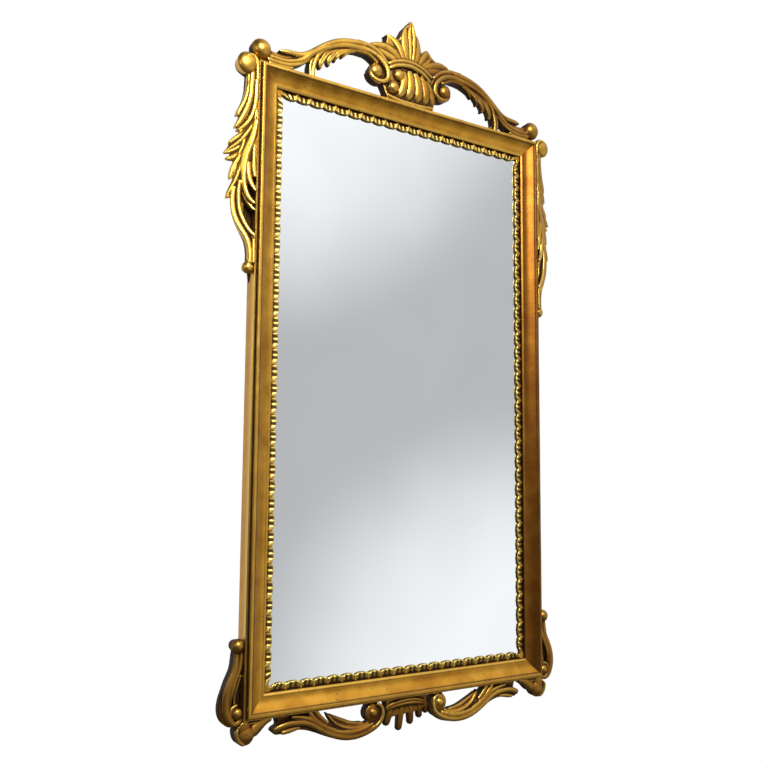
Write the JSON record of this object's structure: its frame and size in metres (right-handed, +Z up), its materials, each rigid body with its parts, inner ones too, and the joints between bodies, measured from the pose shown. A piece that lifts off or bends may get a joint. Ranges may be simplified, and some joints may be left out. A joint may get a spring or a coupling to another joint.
{
  "type": "pier mirror",
  "caption": "Tall giltwood wall mirror: mitred cove moulding with a scalloped sight slip, pierced scroll crest and apron, leaf drops and S-scrolls, D-ring hangers behind.",
  "frame": {"origin": "middle of the top rail's flat back, in the plane that meets the wall", "axes": "+X to the viewer's right, +Y into the wall, +Z up"},
  "size_m": [0.695, 0.039, 1.2188],
  "materials": {
    "gilt_moulding": "oil gilding over gesso and red bole on softwood, toned brown and rubbed",
    "gilt_carving": "burnished gilding on carved wood, dark patina in the hollows",
    "silvered_glass": "clear plate silvered on the back",
    "backboard_wood": "sawn pine boards, unfinished and aged",
    "joinery_wood": "plain beech, glued",
    "hanger_steel": "zinc plated, dulled",
    "button_brass": "stamped, tarnished"
  },
  "bodies": {
    "frame": {"top_rail": "gilt_moulding", "bottom_rail": "gilt_moulding", "left_stile": "gilt_moulding", "right_stile": "gilt_moulding", "sight_slip_top": "gilt_carving", "sight_slip_bottom": "gilt_carving", "sight_slip_left": "gilt_carving", "sight_slip_right": "gilt_carving", "mirror_glass": "silvered_glass", "backboard": "backboard_wood", "crest_cartouche": "gilt_carving", "crest_scroll_left": "gilt_carving", "crest_scroll_right": "gilt_carving", "side_drop_left": "gilt_carving", "side_drop_right": "gilt_carving", "lower_scroll_left": "gilt_carving", "lower_scroll_right": "gilt_carving", "corner_foot_left": "gilt_carving", "corner_foot_right": "gilt_carving", "apron_scroll_left": "gilt_carving", "apron_scroll_right": "gilt_carving", "apron_fan": "gilt_carving", "corner_spline_top_left": "joinery_wood", "corner_spline_top_right": "joinery_wood", "corner_spline_bottom_left": "joinery_wood", "corner_spline_bottom_right": "joinery_wood", "cartouche_dowel_left": "joinery_wood", "cartouche_dowel_right": "joinery_wood", "crest_outer_dowel_left": "joinery_wood", "crest_outer_dowel_right": "joinery_wood", "crest_strut_dowel_left": "joinery_wood", "crest_strut_dowel_right": "joinery_wood", "drop_upper_dowel_left": "joinery_wood", "drop_upper_dowel_right": "joinery_wood", "drop_lower_dowel_left": "joinery_wood", "drop_lower_dowel_right": "joinery_wood", "lower_scroll_dowel_left": "joinery_wood", "lower_scroll_dowel_right": "joinery_wood", "foot_dowel_left": "joinery_wood", "foot_dowel_right": "joinery_wood", "apron_dowel_left": "joinery_wood", "apron_dowel_right": "joinery_wood", "fan_dowel": "joinery_wood", "hanger_strap_left": "hanger_steel", "hanger_strap_right": "hanger_steel", "strap_screw_upper_left": "hanger_steel", "strap_screw_upper_right": "hanger_steel", "strap_screw_lower_left": "hanger_steel", "strap_screw_lower_right": "hanger_steel", "button_screw_upper_left": "hanger_steel", "button_screw_upper_right": "hanger_steel", "button_screw_lower_left": "hanger_steel", "button_screw_lower_right": "hanger_steel"},
    "hanger_ring_left": {"hanger_ring_left": "hanger_steel"},
    "hanger_ring_right": {"hanger_ring_right": "hanger_steel"},
    "turn_button_upper_left": {"turn_button_upper_left": "button_brass"},
    "turn_button_upper_right": {"turn_button_upper_right": "button_brass"},
    "turn_button_lower_left": {"turn_button_lower_left": "button_brass"},
    "turn_button_lower_right": {"turn_button_lower_right": "button_brass"}
  },
  "joints": [
    {"name": "ring_swing_left", "type": "hinge", "parent": "frame", "child": "hanger_ring_left", "pos_m": [-0.282, 0.00365, -0.239], "axis": [1, 0, 0], "range_deg": [0, 180]},
    {"name": "ring_swing_right", "type": "hinge", "parent": "frame", "child": "hanger_ring_right", "pos_m": [0.282, 0.00365, -0.239], "axis": [1, 0, 0], "range_deg": [0, 180]},
    {"name": "button_turn_upper_left", "type": "hinge", "parent": "frame", "child": "turn_button_upper_left", "pos_m": [-0.273, 0.0013, -0.159], "axis": [0, 1, 0], "continuous": true},
    {"name": "button_turn_upper_right", "type": "hinge", "parent": "frame", "child": "turn_button_upper_right", "pos_m": [0.273, 0.0013, -0.159], "axis": [0, 1, 0], "continuous": true},
    {"name": "button_turn_lower_left", "type": "hinge", "parent": "frame", "child": "turn_button_lower_left", "pos_m": [-0.273, 0.0013, -0.819], "axis": [0, 1, 0], "continuous": true},
    {"name": "button_turn_lower_right", "type": "hinge", "parent": "frame", "child": "turn_button_lower_right", "pos_m": [0.273, 0.0013, -0.819], "axis": [0, 1, 0], "continuous": true}
  ]
}
